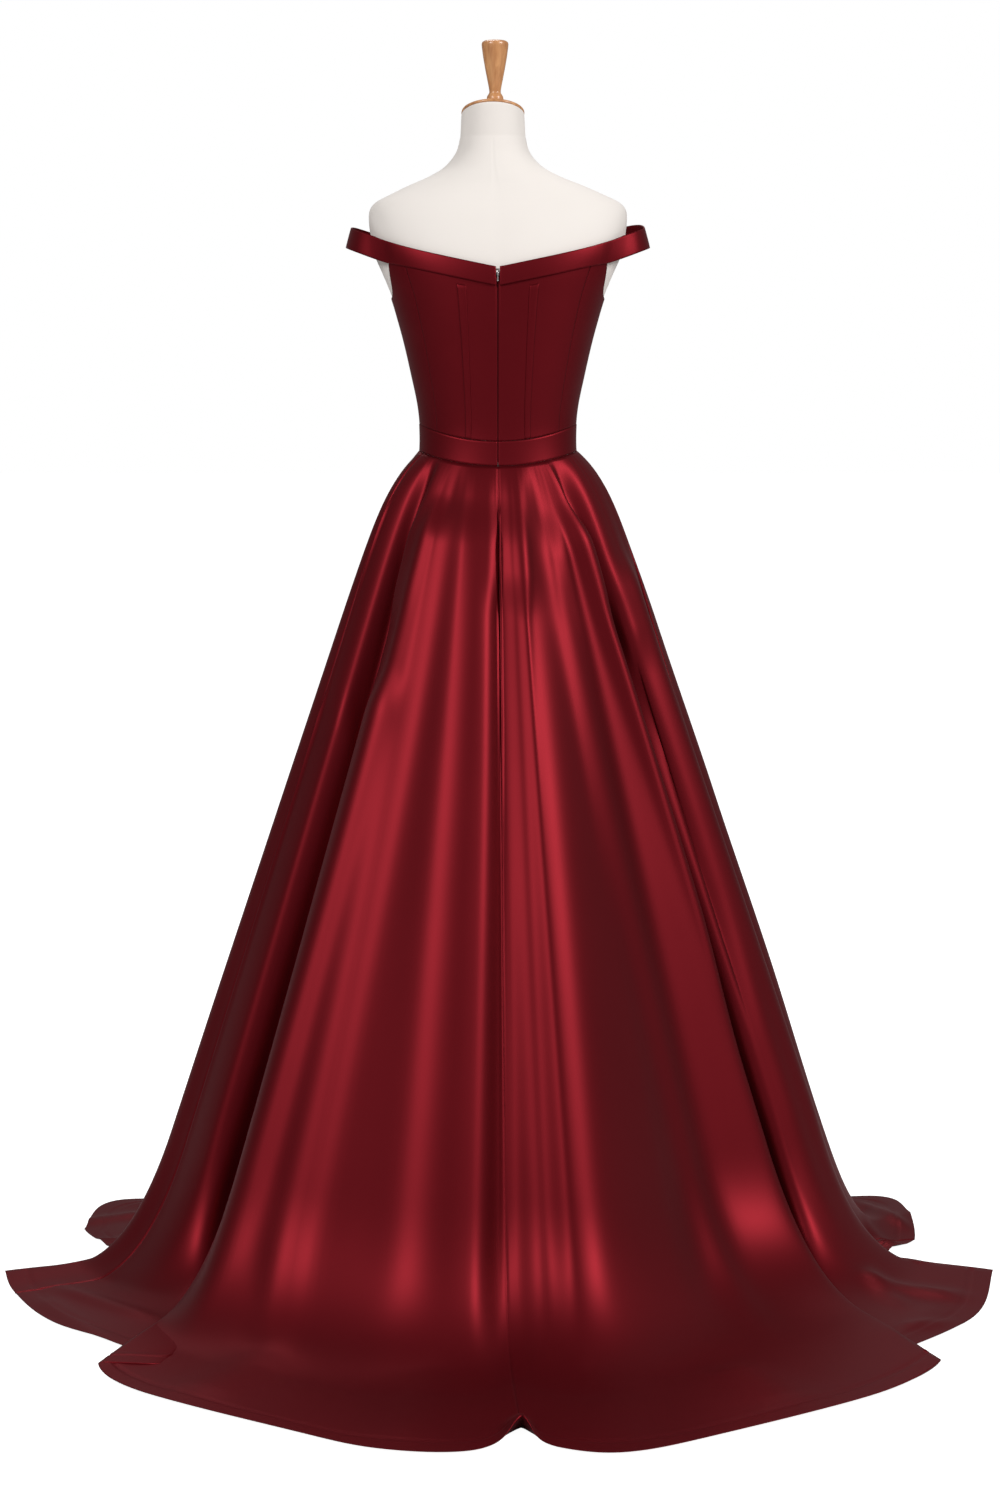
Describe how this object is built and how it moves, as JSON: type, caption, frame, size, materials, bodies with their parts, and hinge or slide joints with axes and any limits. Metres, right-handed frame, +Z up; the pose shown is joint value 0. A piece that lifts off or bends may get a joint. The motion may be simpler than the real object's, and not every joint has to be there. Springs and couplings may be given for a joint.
{
  "type": "evening dress on a dress form",
  "caption": "Off-the-shoulder satin evening gown with fitted bodice, waistband and flared skirt with a sweep train, on a limbless dress form.",
  "frame": {"origin": "centre of the underside of the dress form's round base, on the floor", "axes": "+Z up, -Y out of the front of the gown, +Y along the train, +X towards the wearer's left"},
  "size_m": [1.4024, 1.3738, 1.7398],
  "materials": {
    "satin": "heavy burgundy duchess satin with a soft sheen",
    "linen": "cream jersey stretched over the form",
    "beech": "varnished beech",
    "stand": "black powder coat",
    "zip": "nickelled"
  },
  "bodies": {
    "gown": {"skirt_front": "satin", "skirt_back_left": "satin", "skirt_back_right": "satin", "waistband": "satin", "bodice_front": "satin", "bodice_side_front_left": "satin", "bodice_side_front_right": "satin", "bodice_side_back_left": "satin", "bodice_side_back_right": "satin", "bodice_back_left": "satin", "bodice_back_right": "satin", "boning_channel_left": "satin", "boning_channel_right": "satin", "neckline_band_left": "satin", "neckline_band_right": "satin", "zip_slider": "zip", "form_body": "linen", "neck_cap": "beech", "finial": "beech", "stand_pole": "stand", "stand_base": "stand"},
    "pull_tab": {"zip_pull": "zip"}
  },
  "joints": [
    {"name": "pull_tab_swing", "type": "hinge", "parent": "gown", "child": "pull_tab", "pos_m": [0, 0.1047, 1.413], "axis": [1, 0, 0], "range_deg": [0, 165]}
  ]
}
